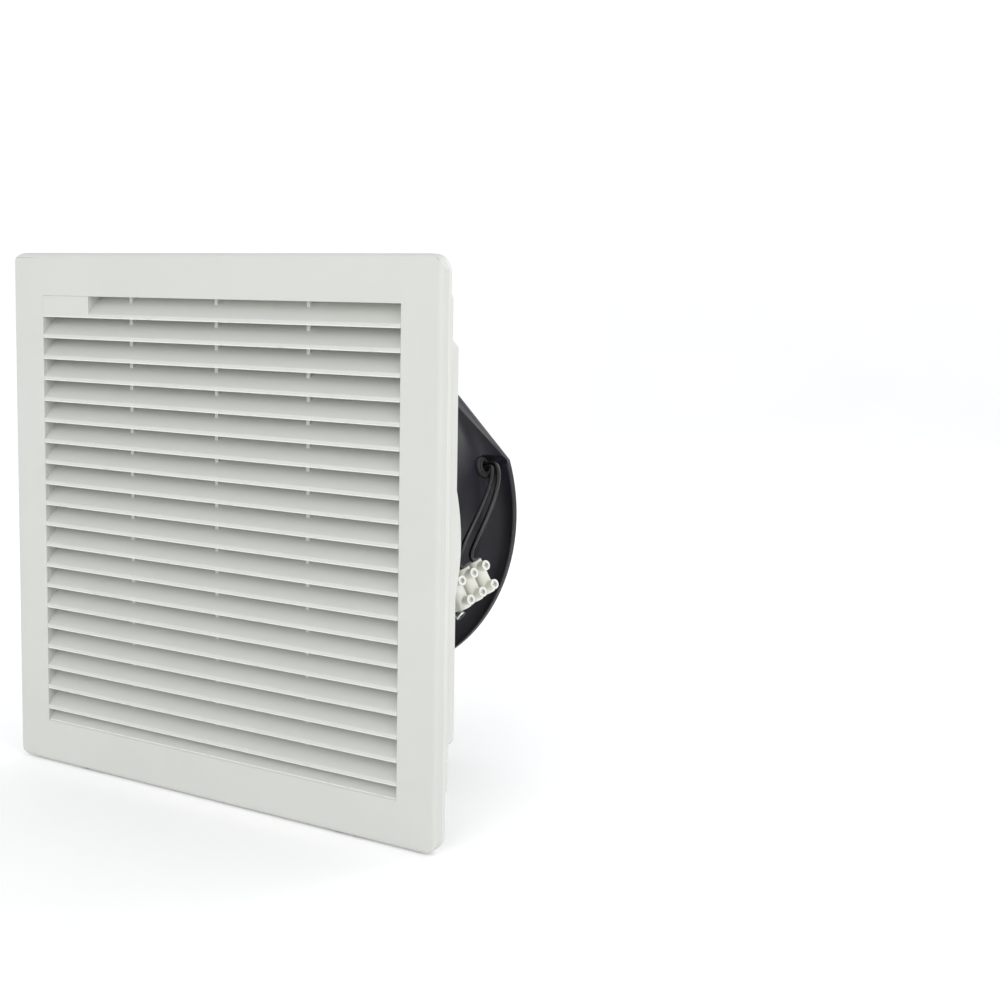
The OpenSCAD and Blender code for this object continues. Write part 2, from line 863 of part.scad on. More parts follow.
// Pan-head screw along Y: its head lies behind y = 0 and its thread in front of it
module screw(r, head_r, l) {
    flat_h = screw_head_h - head_round;
    bar_y(r, -l, l + screw_head_h / 2);
    difference() {
        turned() {
            square([head_r, flat_h]);
            translate([0, flat_h]) square([head_r - head_round, head_round]);
            translate([head_r - head_round, flat_h]) circle(head_round);
        }
        for (a = [0, 90]) rotate([0, a, 0])
            translate([-head_r / 2, flat_h, -cross_w / 2]) cube([head_r, 2 * head_round, cross_w]);
    }
}

module fan_screws() {
    color("silver") at_fan_corners() translate([0, fan_y + fan_flange_t, 0])
        screw(fan_screw_r, 2 * fan_screw_r, boss_l + fan_flange_t - cut);
}

module at_motor_screws() {
    for (a = [45 : 90 : 315]) rotate([0, a, 0]) translate([motor_screw_circle_r, 0, 0]) children();
}

module motor_screws() {
    color("silver") at_motor_screws() translate([0, strut_rear_y, 0])
        screw(motor_screw_r, 2 * motor_screw_r, strut_d + motor_flange_t - cut);
}

// Motor flange with the tube that holds both bearings
module motor_flange() {
    color("darkgray") difference() {
        union() {
            bar_y(motor_flange_r, motor_flange_y, motor_flange_t);
            bar_y(tube_r, tube_y, motor_flange_y - tube_y);
        }
        bar_y(bearing_r, tube_y - cut, bearing_w + cut);
        bar_y(bearing_r, rear_bearing_y, bearing_w + motor_flange_t + cut);
        bar_y(tube_step_r, tube_y, motor_flange_y - tube_y);
        at_motor_screws() bar_y(motor_screw_r, motor_flange_y - cut, motor_flange_t + 2 * cut);
    }
}

// Laminated core: a ring with slots that open outwards
module core_outline() {
    difference() {
        circle(stator_r);
        circle(tube_r);
        for (k = [0 : stator_slots - 1]) rotate(k * 360 / stator_slots)
            translate([stator_r - slot_depth, -slot_mouth_w / 2])
                square([slot_depth + cut, slot_mouth_w]);
    }
}

module stator_core() {
    color("slategray") along_y(stator_y, stator_l) core_outline();
}

// Coils: they fill the slots and stand out at both ends of the core
module stator_windings() {
    coil_w = slot_mouth_w - 2 * running_gap;
    coil_d = slot_depth - slot_lip;
    coil_r = stator_r - slot_depth + running_gap;
    color("peru") {
        for (k = [0 : stator_slots - 1]) rotate([0, k * 360 / stator_slots, 0])
            translate([coil_r, stator_y - overhang_l / 2, -coil_w / 2])
                cube([coil_d - running_gap, stator_l + overhang_l, coil_w]);
        for (y = [stator_y - overhang_l, stator_y + stator_l])
            turned() translate([coil_r, y]) square([coil_d - running_gap, overhang_l]);
    }
}

// Deep groove ball bearing, drawn with its two races and the shield between them
module bearing(y) {
    color("silver") difference() {
        turned() translate([shaft_r + pin_clearance, y])
            square([bearing_r - shaft_r - pin_clearance, bearing_w]);
        for (e = [y, y + bearing_w]) turned() {
            translate([shaft_r + race_t + race_groove_r, e]) circle(race_groove_r / 2);
            translate([bearing_r - race_t - race_groove_r, e]) circle(race_groove_r / 2);
        }
    }
}

module front_bearing() {
    bearing(front_bearing_y);
}

module rear_bearing() {
    bearing(rear_bearing_y);
}

module rotor_shaft() {
    color("lightsteelblue") difference() {
        bar_y(shaft_r, cup_y, motor_flange_y + motor_flange_t - cup_y);
        turned() translate([shaft_r - ring_groove, motor_flange_y + running_gap])
            square([ring_groove + cut, ring_t]);
    }
}

module retaining_ring() {
    rim_r = shaft_r + ring_rim;
    color("dimgray") difference() {
        bar_y(rim_r, motor_flange_y + running_gap, ring_t);
        bar_y(shaft_r - ring_groove, motor_flange_y, 2 * ring_t);
        translate([0, motor_flange_y, -ring_t]) cube([rim_r + cut, 2 * ring_t, 2 * ring_t]);
    }
}

module rotor_cup() {
    color("dimgray") difference() {
        turned() {
            translate([0, cup_y]) square([cup_r, cup_front_wall]);
            translate([cup_r - cup_wall, cup_y]) square([cup_wall, cup_l]);
            translate([0, cup_y]) square([cup_boss_r, cup_front_wall + cup_boss_l]);
        }
        bar_y(shaft_r, cup_y - cut, cup_front_wall + cup_boss_l + 2 * cut);
    }
}

module rotor_ring() {
    color("slategray") turned() translate([stator_r + air_gap, stator_y - rotor_ring_overlap])
        square([rotor_ring_t, stator_l + 2 * rotor_ring_overlap]);
}

// One point of a blade: station u from hub to tip, column v from edge to edge, and its side
function blade_point(u, v, side) =
    let (
        root_r = hub_r - blade_root_sink,
        r = root_r + u * (tip_r - root_r),
        spread = blade_root_angle + u * (blade_tip_angle - blade_root_angle),
        turn = blade_sweep * u * u + (v - 0.5) * spread,
        depth = blade_root_d + u * (blade_tip_d - blade_root_d),
        arch = blade_camber * (1 - pow(2 * v - 1, 2)),
        half_t = blade_t / 2 * (blade_edge + (1 - blade_edge) * sin(180 * v)),
        y = blade_y + (v - 0.5) * depth - arch + side * half_t
    )
    [r * cos(turn), y, r * sin(turn)];

// The closed section of a blade at station u
function blade_loop(u) = concat(
    [for (c = [0 : blade_columns - 1]) blade_point(u, c / (blade_columns - 1), 1)],
    [for (c = [blade_columns - 1 : -1 : 0]) blade_point(u, c / (blade_columns - 1), -1)]
);

module blade() {
    n = 2 * blade_columns;
    last = (blade_stations - 1) * n;
    points = [
        for (s = [0 : blade_stations - 1]) each blade_loop(s / (blade_stations - 1))
    ];
    skin = [
        for (s = [0 : blade_stations - 2], k = [0 : n - 1])
            let (a = s * n + k, b = s * n + (k + 1) % n) each [[a, b + n, b], [a, a + n, b + n]]
    ];
    root_cap = [
        for (k = [0 : blade_columns - 2])
            let (a = k, b = n - 1 - k) each [[a, b - 1, b], [a, a + 1, b - 1]]
    ];
    tip_cap = [for (f = root_cap) [f[2] + last, f[1] + last, f[0] + last]];
    polyhedron(points = points, faces = concat(skin, root_cap, tip_cap));
}

module impeller() {
    color([0.12, 0.12, 0.13]) {
        turned() translate([cup_r, hub_y]) square([hub_wall, hub_l]);
        for (k = [0 : blade_count - 1]) rotate([0, k * 360 / blade_count, 0]) blade();
    }
}

// One pole of the terminal strip, along Y in the strip's own frame
module pole() {
    translate([-pole_r, -pole_l / 2, 0]) cube([2 * pole_r, pole_l, pole_base_h]);
    translate([0, 0, pole_base_h]) rotate([90, 0, 0])
        cylinder(r = pole_r, h = pole_l, center = true);
    for (s = [-1, 1]) translate([0, s * tower_reach, pole_base_h])
        cylinder(r = tower_r, h = pole_r + tower_h);
}

module at_poles() {
    for (k = [-1 : 1]) translate([k * pole_pitch, 0, 0]) children();
}

module terminal_block() {
    color("ivory") at_terminal() difference() {
        union() {
            at_poles() pole();
            translate([-pole_pitch, -pole_web_l / 2, 0])
                cube([2 * pole_pitch, pole_web_l, pole_web_h]);
        }
        at_poles() {
            translate([0, 0, pole_base_h]) rotate([90, 0, 0])
                cylinder(r = clamp_r + pin_clearance, h = pole_l + cut, center = true);
            for (s = [-1, 1]) translate([0, s * tower_reach, pole_base_h])
                cylinder(r = terminal_screw_r + pin_clearance, h = pole_r + tower_h + cut);
        }
        translate([0, 0, -cut]) cylinder(r = fixing_screw_r + pin_clearance, h = pole_base_h);
    }
}

module terminal_clamps() {
    color("goldenrod") at_terminal() at_poles() translate([0, 0, pole_base_h]) rotate([90, 0, 0])
        difference() {
            cylinder(r = clamp_r, h = pole_l - 2 * clamp_inset, center = true);
            cylinder(r = lead_r + lead_gap, h = pole_l, center = true);
        }
}

module terminal_screws() {
    screw_l = pole_r + tower_h - clamp_r - terminal_screw_sink;
    color("silver") at_terminal() at_poles() for (s = [-1, 1])
        translate([0, s * tower_reach, pole_base_h + clamp_r]) difference() {
            cylinder(r = terminal_screw_r, h = screw_l);
            translate([-2 * terminal_screw_r, -slit_w / 2, screw_l - slit_d])
                cube([4 * terminal_screw_r, slit_w, slit_d + cut]);
        }
}

module terminal_fixing_screw() {
    color("silver") at_terminal() translate([0, 0, -pillar_l / 2])
        cylinder(r = fixing_screw_r, h = pillar_l / 2 + fixing_screw_r);
}

// Round rings of points about each point of a route, square to its run
function run(route, i) =
    let (a = route[max(i - 1, 0)], b = route[min(i + 1, len(route) - 1)], d = b - a) d / norm(d);

function ring(route, i, r) =
    let (d = run(route, i), u = cross(d, [0, 1, 0]), s = u / norm(u), t = cross(d, s))
    [
        for (k = [0 : lead_sides - 1])
            route[i] + r * (cos(k * 360 / lead_sides) * s + sin(k * 360 / lead_sides) * t)
    ];

// A smooth route through the chosen points
function spline(p, i, t) =
    let (
        a = p[max(i - 1, 0)], b = p[i], c = p[i + 1], d = p[min(i + 2, len(p) - 1)]
    )
    b + (c - a) * t / 2 + (2 * a - 5 * b + 4 * c - d) * t * t / 2
        + (3 * b - a - 3 * c + d) * t * t * t / 2;

function route_points(p) = [
    for (i = [0 : len(p) - 2], t = [0, 0.5]) spline(p, i, t),
    p[len(p) - 1]
];

function placed(route, turns) = [
    for (i = [0 : len(route) - 1])
        let (r = barrel_r + route[i][0])
            [r * cos(turns[i]), grommet_y + route[i][1], r * sin(turns[i])]
];

module lead(chosen, turns) {
    route = route_points(placed(chosen, turns));
    n = lead_sides;
    last = len(route) - 1;
    skin = [
        for (i = [0 : last - 1], k = [0 : n - 1])
            let (a = i * n + k, b = i * n + (k + 1) % n) [a, b, b + n, a + n]
    ];
    start_cap = [for (k = [n - 1 : -1 : 0]) k];
    end_cap = [for (k = [0 : n - 1]) last * n + k];
    polyhedron(
        points = [for (i = [0 : last]) each ring(route, i, lead_r)],
        faces = concat(skin, [start_cap, end_cap])
    );
}

module lead_live() {
    color([0.05, 0.05, 0.06]) lead(lead_live_route, lead_live_turn);
}

module lead_neutral() {
    color([0.05, 0.05, 0.06]) lead(lead_neutral_route, lead_neutral_turn);
}

// Sleeved leads along the strut, from the motor to the grommet
module lead_sleeve() {
    sleeve_out_r = barrel_in_r - sleeve_end_gap;
    color([0.05, 0.05, 0.06]) at_grommet() translate([motor_flange_r - barrel_r, 0, 0])
        rotate([0, 90, 0]) cylinder(r = sleeve_r, h = sleeve_out_r - motor_flange_r);
}

// Places the children on the barrel where the leads come out, X pointing outwards
module at_grommet() {
    rotate([0, -grommet_turn, 0]) translate([barrel_r, grommet_y, 0]) children();
}

module cable_grommet() {
    color([0.05, 0.05, 0.06]) at_grommet() rotate([0, 90, 0]) difference() {
        union() {
            translate([0, 0, -barrel_wall])
                cylinder(r = grommet_bore_r + grommet_wall - pin_clearance, h = 2 * barrel_wall);
            translate([0, 0, running_gap]) cylinder(r = grommet_r, h = grommet_rim_t);
        }
        cylinder(r = grommet_bore_r, h = 6 * barrel_wall, center = true);
    }
}

module earth_screw() {
    color("silver") at_earth() translate([earth_boss_h, 0, 0]) rotate([0, 0, -90])
        screw(earth_screw_r, earth_head_r, earth_boss_h);
}

module finger_guard() {
    eye_r = fan_screw_r + eye_gap + wire_r;
    guard_y = fan_rear_y + wire_r;
    ring_y = guard_y - weld * wire_r;
    rings = floor((barrel_in_r - wire_r - guard_first_r) / guard_pitch);
    color("silver") {
        for (k = [0 : rings]) turned()
            translate([guard_first_r + k * guard_pitch, ring_y]) circle(wire_r, $fn = wire_sides);
        for (a = [0 : 90 : 270]) rotate([0, a, 0]) {
            translate([guard_first_r, guard_y, 0]) rotate([0, 90, 0])
                cylinder(r = wire_r, h = fan_screw_circle_r - eye_r - guard_first_r);
            translate([fan_screw_circle_r, 0, 0]) turned()
                translate([eye_r, guard_y]) circle(wire_r, $fn = wire_sides);
        }
    }
}

module guard_screws() {
    color("silver") at_fan_corners() translate([0, fan_rear_y + 2 * wire_r, 0])
        screw(fan_screw_r, 2 * fan_screw_r, fan_flange_t + 2 * wire_r - cut);
}

front_cover();
louvre_grille();
filter_mat();
mounting_flange();
mat_tray();
support_grid();
fan_duct();
panel_gasket();
hinge_pins();
snap_clip_upper_left();
snap_clip_upper_right();
snap_clip_lower_left();
snap_clip_lower_right();
clip_pins();
fan_barrel();
fan_front_flange();
fan_rear_flange();
fan_bosses();
fan_screws();
motor_bracket();
motor_flange();
motor_screws();
stator_core();
stator_windings();
front_bearing();
rear_bearing();
rotor_shaft();
retaining_ring();
rotor_cup();
rotor_ring();
impeller();
terminal_block();
terminal_clamps();
terminal_screws();
terminal_fixing_screw();
lead_live();
lead_neutral();
lead_sleeve();
cable_grommet();
earth_screw();
finger_guard();
guard_screws();
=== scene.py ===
import json
import math

import bmesh
import bpy
from mathutils import Matrix, Quaternion, Vector, noise


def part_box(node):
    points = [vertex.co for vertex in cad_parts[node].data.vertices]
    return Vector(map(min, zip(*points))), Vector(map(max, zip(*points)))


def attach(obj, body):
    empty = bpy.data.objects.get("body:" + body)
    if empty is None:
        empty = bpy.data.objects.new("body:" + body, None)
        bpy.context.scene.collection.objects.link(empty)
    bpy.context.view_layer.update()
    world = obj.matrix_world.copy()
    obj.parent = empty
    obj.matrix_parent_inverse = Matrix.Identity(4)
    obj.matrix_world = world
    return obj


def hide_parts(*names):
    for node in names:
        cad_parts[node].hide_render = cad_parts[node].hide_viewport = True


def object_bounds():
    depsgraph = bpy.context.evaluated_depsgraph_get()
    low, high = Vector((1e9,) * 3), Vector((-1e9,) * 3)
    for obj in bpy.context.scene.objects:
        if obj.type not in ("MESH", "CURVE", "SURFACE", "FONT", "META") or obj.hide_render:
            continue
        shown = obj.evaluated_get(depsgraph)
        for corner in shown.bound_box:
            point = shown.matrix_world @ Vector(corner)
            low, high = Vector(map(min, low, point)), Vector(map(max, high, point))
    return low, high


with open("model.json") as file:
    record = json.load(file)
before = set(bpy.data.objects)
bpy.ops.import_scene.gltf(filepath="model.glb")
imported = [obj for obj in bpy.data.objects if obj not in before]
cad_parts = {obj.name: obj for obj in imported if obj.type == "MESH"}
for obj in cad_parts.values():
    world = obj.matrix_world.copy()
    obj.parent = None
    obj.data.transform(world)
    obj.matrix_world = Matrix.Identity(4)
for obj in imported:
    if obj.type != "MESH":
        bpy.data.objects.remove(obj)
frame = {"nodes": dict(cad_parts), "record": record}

CAD_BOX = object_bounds()
MM = 0.001
NODES = frame["nodes"]
SUBPARTS = frame["record"]["subparts"]
SCENE = bpy.context.scene


# Shader helpers

FLOAT = "NodeSocketFloat"
COLOUR = "NodeSocketColor"


def put(tree, kind, sockets=None, **settings):
    """Adds a shader node, sets its settings and the values of its sockets."""
    made = tree.nodes.new(kind)
    for name, value in settings.items():
        setattr(made, name, value)
    for name, value in (sockets or {}).items():
        made.inputs[name].default_value = value
    return made


def join(tree, source, target):
    tree.links.new(source, target)


def feed(tree, socket, value):
    """Links a socket to another one, or gives it a plain value."""
    if isinstance(value, bpy.types.NodeSocket):
        join(tree, value, socket)
    else:
        socket.default_value = value


def rgba(red, green, blue):
    return (red, green, blue, 1.0)


def new_group(name, inputs, outputs):
    """An empty shader group with float and colour sockets that carry their defaults."""
    group = bpy.data.node_groups.new(name, "ShaderNodeTree")
    for label, kind, value in inputs:
        socket = group.interface.new_socket(label, in_out="INPUT", socket_type=kind)
        socket.default_value = value
    for label, kind in outputs:
        group.interface.new_socket(label, in_out="OUTPUT", socket_type=kind)
    return group, group.nodes.new("NodeGroupInput"), group.nodes.new("NodeGroupOutput")


def ramp(tree, source, span):
    """A map that turns the span from low to high into 0 to 1."""
    made = put(tree, "ShaderNodeMapRange", {"From Min": span[0], "From Max": span[1]})
    made.interpolation_type = "SMOOTHSTEP"
    join(tree, source, made.inputs["Value"])
    return made.outputs["Result"]


def mix_colours(tree, factor, first, second):
    """Mixes two colours; each of the three may be a socket or a plain value."""
    made = put(tree, "ShaderNodeMix", data_type="RGBA", blend_type="MIX")
    for socket, value in ((0, factor), (6, first), (7, second)):
        feed(tree, made.inputs[socket], value)
    return made.outputs[2]


def sums(tree, kind, first, second=0.0):
    """One step of arithmetic on sockets or plain values."""
    made = put(tree, "ShaderNodeMath", operation=kind)
    feed(tree, made.inputs[0], first)
    feed(tree, made.inputs[1], second)
    return made.outputs[0]


def object_place(tree):
    return put(tree, "ShaderNodeTexCoord").outputs["Object"]


def object_noise(tree, scale, detail=2.0, stretch=(1, 1, 1)):
    """Noise on Object coordinates, stretched along an axis if wished."""
    turned = put(tree, "ShaderNodeMapping", {"Scale": stretch})
    made = put(tree, "ShaderNodeTexNoise", {"Detail": detail})
    join(tree, object_place(tree), turned.inputs["Vector"])
    join(tree, turned.outputs["Vector"], made.inputs["Vector"])
    feed(tree, made.inputs["Scale"], scale)
    return made.outputs["Fac"]


# Effects that several materials share

CLOUD_SPAN = (0.35, 0.68)
CORNER_SPAN = (0.25, 0.95)
PATCH_SCALE = 60.0
PATCH_SPAN = (0.3, 0.75)
PATCH_FLOOR = 0.35
UPWARD_SPAN = (0.5, 1.0)
SHADE_REACH = 8 * MM
EDGE_HIGHLIGHT_AMOUNT = 0.9
EDGE_SPAN = (0.55, 0.95)
EDGE_REACH = 1.2 * MM
HIGHLIGHT_PATCH_SCALE = 140.0
HIGHLIGHT_PATCH_SPAN = (0.2, 0.5)
SHADE_SAMPLES = 8
MID_GREY = rgba(0.6, 0.6, 0.6)


def make_moulded_skin():
    """Fine eroded grain of a moulded plastic, with faint clouds of colour."""
    group, given, result = new_group(
        "moulded_skin",
        [
            ("Colour", COLOUR, MID_GREY),
            ("Cloud Colour", COLOUR, rgba(0.55, 0.55, 0.55)),
            ("Grain Scale", FLOAT, 1600.0),
            ("Cloud Scale", FLOAT, 22.0),
            ("Roughness", FLOAT, 0.45),
            ("Roughness Spread", FLOAT, 0.12),
        ],
        [("Colour", COLOUR), ("Roughness", FLOAT), ("Height", FLOAT)],
    )
    clouds = ramp(group, object_noise(group, given.outputs["Cloud Scale"], 3.0), CLOUD_SPAN)
    grain = object_noise(group, given.outputs["Grain Scale"])
    colour = mix_colours(group, clouds, given.outputs["Colour"], given.outputs["Cloud Colour"])
    off_middle = sums(group, "SUBTRACT", clouds, 0.5)
    swing = sums(group, "MULTIPLY", off_middle, given.outputs["Roughness Spread"])
    join(group, colour, result.inputs["Colour"])
    join(group, sums(group, "ADD", given.outputs["Roughness"], swing), result.inputs["Roughness"])
    join(group, grain, result.inputs["Height"])
    return group


def make_dust_and_corner_shade():
    """Painted shade in corners and recesses, found by ambient occlusion, mixed with a dusting
    there and on upward faces.
    """
    group, given, result = new_group(
        "dust_and_corner_shade",
        [
            ("Colour", COLOUR, MID_GREY),
            ("Dust And Shade Colour", COLOUR, rgba(0.36, 0.34, 0.3)),
            ("Corner Amount", FLOAT, 0.5),
            ("Top Amount", FLOAT, 0.1),
            ("Reach", FLOAT, SHADE_REACH),
        ],
        [("Colour", COLOUR), ("Mask", FLOAT)],
    )
    # Painted shade: corners and recesses that the occlusion finds are mixed towards the corner
    # colour.
    shade = put(group, "ShaderNodeAmbientOcclusion", samples=SHADE_SAMPLES)
    join(group, given.outputs["Reach"], shade.inputs["Distance"])
    corners = sums(group, "SUBTRACT", 1.0, ramp(group, shade.outputs["AO"], CORNER_SPAN))
    in_corners = sums(group, "MULTIPLY", corners, given.outputs["Corner Amount"])
    facing = put(group, "ShaderNodeSeparateXYZ")
    join(group, put(group, "ShaderNodeNewGeometry").outputs["Normal"], facing.inputs[0])
    upward = ramp(group, facing.outputs["Z"], UPWARD_SPAN)
    on_top = sums(group, "MULTIPLY", upward, given.outputs["Top Amount"])
    patches = ramp(group, object_noise(group, PATCH_SCALE, 4.0), PATCH_SPAN)
    uneven = sums(group, "ADD", patches, PATCH_FLOOR)
    shade_and_dust_amount = sums(group, "MULTIPLY", sums(group, "ADD", in_corners, on_top), uneven)
    mask = sums(group, "MINIMUM", shade_and_dust_amount, 1.0)
    colour = mix_colours(group, mask, given.outputs["Colour"], given.outputs["Dust And Shade Colour"])
    join(group, colour, result.inputs["Colour"])
    join(group, mask, result.inputs["Mask"])
    return group


def make_painted_edge_highlight():
    """Painted highlight: outer edges made brighter in patches, where another face lies close
    under the surface.
    """
    group, given, result = new_group(
        "painted_edge_highlight",
        [
            ("Colour", COLOUR, MID_GREY),
            ("Edge Colour", COLOUR, rgba(0.8, 0.8, 0.8)),
            ("Amount", FLOAT, EDGE_HIGHLIGHT_AMOUNT),
            ("Reach", FLOAT, EDGE_REACH),
        ],
        [("Colour", COLOUR)],
    )
    inner = put(group, "ShaderNodeAmbientOcclusion", samples=SHADE_SAMPLES, inside=True)
    join(group, given.outputs["Reach"], inner.inputs["Distance"])
    edge = sums(group, "SUBTRACT", 1.0, ramp(group, inner.outputs["AO"], EDGE_SPAN))
    patchy = ramp(group, object_noise(group, HIGHLIGHT_PATCH_SCALE, 3.0), HIGHLIGHT_PATCH_SPAN)
    painted_light = sums(group, "MULTIPLY", edge, patchy)
    mask = sums(group, "MULTIPLY", painted_light, given.outputs["Amount"])
    colour = mix_colours(group, mask, given.outputs["Colour"], given.outputs["Edge Colour"])
    join(group, colour, result.inputs["Colour"])
    return group


MOULDED_SKIN = make_moulded_skin()
DUST_AND_CORNER_SHADE = make_dust_and_corner_shade()
PAINTED_EDGE_HIGHLIGHT = make_painted_edge_highlight()


def use_group(tree, group, sockets):
    """Places a shared effect in a material; each socket gets a link or a plain value."""
    made = put(tree, "ShaderNodeGroup", node_tree=group)
    for name, value in sockets.items():
        feed(tree, made.inputs[name], value)
    return made


def start_material(name, settings):
    """A material with one Principled shader whose plain sockets are set."""
    material = bpy.data.materials.new(name)
    material.use_nodes = True
    shader = material.node_tree.nodes["Principled BSDF"]
    for socket, value in settings.items():
        shader.inputs[socket].default_value = value
    return material, material.node_tree, shader


def add_bump(tree, shader, height, depth):
    bump = put(tree, "ShaderNodeBump", {"Strength": 1.0, "Distance": depth})
    join(tree, height, bump.inputs["Height"])
    join(tree, bump.outputs["Normal"], shader.inputs["Normal"])


def add_roughness(tree, shader, base, pattern, spread):
    """Roughness that rises from its base by a share of a pattern."""
    swing = sums(tree, "MULTIPLY", pattern, spread)
    join(tree, sums(tree, "ADD", swing, base), shader.inputs["Roughness"])


# The slats' opening in the cover, and the closed plate in its upper left corner
SLATS_HALF = 135.3 * MM
PLATE_RIGHT = -95.2 * MM
PLATE_LOW = 123.95 * MM


def slat_area(tree):
    """1 on the slats, 0 on the face around them and on the closed plate."""
    axes = put(tree, "ShaderNodeSeparateXYZ")
    join(tree, object_place(tree), axes.inputs[0])
    across = sums(tree, "LESS_THAN", sums(tree, "ABSOLUTE", axes.outputs["X"]), SLATS_HALF)
    upright = sums(tree, "LESS_THAN", sums(tree, "ABSOLUTE", axes.outputs["Z"]), SLATS_HALF)
    left = sums(tree, "LESS_THAN", axes.outputs["X"], PLATE_RIGHT)
    high = sums(tree, "GREATER_THAN", axes.outputs["Z"], PLATE_LOW)
    beside_plate = sums(tree, "SUBTRACT", 1.0, sums(tree, "MULTIPLY", left, high))
    return sums(tree, "MULTIPLY", sums(tree, "MULTIPLY", across, upright), beside_plate)


FINE_REACH = 0.5 * MM
DUST_AND_SHADE_DULLS = 0.3


def plastic(name, colour, cloud, roughness, edge, grain=1600.0, depth=0.02 * MM, corner_dust_and_shade=0.35,
            top=0.06, edge_reach=FINE_REACH, edge_area=None, dust_and_shade_colour=(0.36, 0.35, 0.31),
            coat=0.0, mirror=0.5):
    """Moulded plastic or paint: grain, clouds, a painted highlight on its edges, and painted
    shade with a dusting in its corners.
    """
    material, tree, shader = start_material(name, {
        "Coat Weight": coat, "Coat Roughness": 0.25, "Specular IOR Level": mirror,
    })
    skin = use_group(tree, MOULDED_SKIN, {
        "Colour": rgba(*colour), "Cloud Colour": rgba(*cloud), "Grain Scale": grain,
        "Roughness": roughness,
    })
    edges = use_group(tree, PAINTED_EDGE_HIGHLIGHT, {
        "Colour": skin.outputs["Colour"], "Edge Colour": rgba(*edge), "Reach": edge_reach,
    })
    if edge_area:
        painted_light = sums(tree, "MULTIPLY", edge_area(tree), EDGE_HIGHLIGHT_AMOUNT)
        join(tree, painted_light, edges.inputs["Amount"])
    dust_and_shade = use_group(tree, DUST_AND_CORNER_SHADE, {
        "Colour": edges.outputs["Colour"], "Dust And Shade Colour": rgba(*dust_and_shade_colour),
        "Corner Amount": corner_dust_and_shade, "Top Amount": top,
    })
    join(tree, dust_and_shade.outputs["Colour"], shader.inputs["Base Color"])
    add_roughness(tree, shader, skin.outputs["Roughness"], dust_and_shade.outputs["Mask"], DUST_AND_SHADE_DULLS)
    add_bump(tree, shader, skin.outputs["Height"], depth)
    return material


BLOTCH_SCALE = 90.0
BLOTCH_SPAN = (0.3, 0.7)
METAL_CORNER_SHADE_GREY = rgba(0.2, 0.19, 0.17)
METAL_CORNER_SHADE_AMOUNT = 0.35
METAL_CORNER_SHADE_REACH = 2 * MM
STREAK_SPREAD = 0.25


def metal(name, colour, tint, roughness, stretch=(1, 1, 1), scale=900.0, depth=0.01 * MM):
    """Metal with streaks or blotches in its colour and roughness, and painted shade in its
    corners.
    """
    material, tree, shader = start_material(name, {"Metallic": 1.0})
    streaks = object_noise(tree, scale, 3.0, stretch)
    blotches = ramp(tree, object_noise(tree, BLOTCH_SCALE, 3.0), BLOTCH_SPAN)
    # Painted shade: a dark grey mixed into the metal's corners and recesses.
    painted_light = use_group(tree, DUST_AND_CORNER_SHADE, {
        "Colour": mix_colours(tree, blotches, rgba(*colour), rgba(*tint)),
        "Dust And Shade Colour": METAL_CORNER_SHADE_GREY, "Corner Amount": METAL_CORNER_SHADE_AMOUNT, "Top Amount": 0.0,
        "Reach": METAL_CORNER_SHADE_REACH,
    })
    join(tree, painted_light.outputs["Colour"], shader.inputs["Base Color"])
    off_middle = sums(tree, "SUBTRACT", streaks, 0.5)
    add_roughness(tree, shader, roughness, off_middle, STREAK_SPREAD)
    add_bump(tree, shader, streaks, depth)
    return material


# A wave texture of scale 1 repeats every 0.05 * 2 pi units
WAVE_UNIT = 0.05 * 6.2832
BAND_SPAN = (0.05, 0.5)
BAND_BLOTCH_SCALE = 120.0
BAND_SHADE = 0.8
BAND_DEPTH = 0.3


def banded(name, colour, gap_colour, pitch, roughness, direction):
    """Metal in thin bands side by side, as laminations or wound wire have them."""
    material, tree, shader = start_material(name, {"Metallic": 1.0})
    wave = put(tree, "ShaderNodeTexWave", {
        "Scale": WAVE_UNIT / pitch, "Distortion": 0.6, "Detail": 1.0,
    }, wave_type="BANDS", bands_direction=direction)
    join(tree, object_place(tree), wave.inputs["Vector"])
    lines = ramp(tree, wave.outputs["Fac"], BAND_SPAN)
    blotches = ramp(tree, object_noise(tree, BAND_BLOTCH_SCALE, 3.0), BLOTCH_SPAN)
    lit = mix_colours(tree, lines, rgba(*gap_colour), rgba(*colour))
    dark = rgba(*[BAND_SHADE * c for c in colour])
    join(tree, mix_colours(tree, blotches, lit, dark), shader.inputs["Base Color"])
    add_roughness(tree, shader, roughness, blotches, 0.2)
    add_bump(tree, shader, lines, pitch * BAND_DEPTH)
    return material


# Finishes of the pieces

COVER_GREY = (0.575, 0.583, 0.55)
COVER_CLOUD = (0.565, 0.573, 0.54)
# The frame's grey is painted lighter than the cover's, standing in for the stronger light on the
# right side.
FRAME_LIT_GREY = (0.625, 0.63, 0.60)
FRAME_LIT_CLOUD = (0.615, 0.62, 0.59)
EDGE_HIGHLIGHT_PALE = (0.9, 0.91, 0.87)
BLACK = (0.008, 0.008, 0.010)


# The cover's slats carry a strong painted highlight on their edges; its face and closed plate
# carry none.
def cover_plastic(name):
    return plastic(
        name, COVER_GREY, COVER_CLOUD, 0.46, EDGE_HIGHLIGHT_PALE, corner_dust_and_shade=0.1, top=0.02,
        edge_reach=EDGE_REACH, edge_area=slat_area,
    )


def frame_plastic(name):
    return plastic(name, FRAME_LIT_GREY, FRAME_LIT_CLOUD, 0.42, EDGE_HIGHLIGHT_PALE, top=0.03)


def clip_plastic(name):
    return plastic(name, (0.66, 0.66, 0.63), (0.62, 0.62, 0.6), 0.38, (0.8, 0.8, 0.78))


FELT_SCALE = 900.0
FELT_STRETCH = 0.25
FELT_STRAND_SPAN = (0.42, 0.66)
FELT_CLUMP_SCALE = 70.0
FELT_CLUMPS = 0.45
FELT_DEPTH = 0.5 * MM


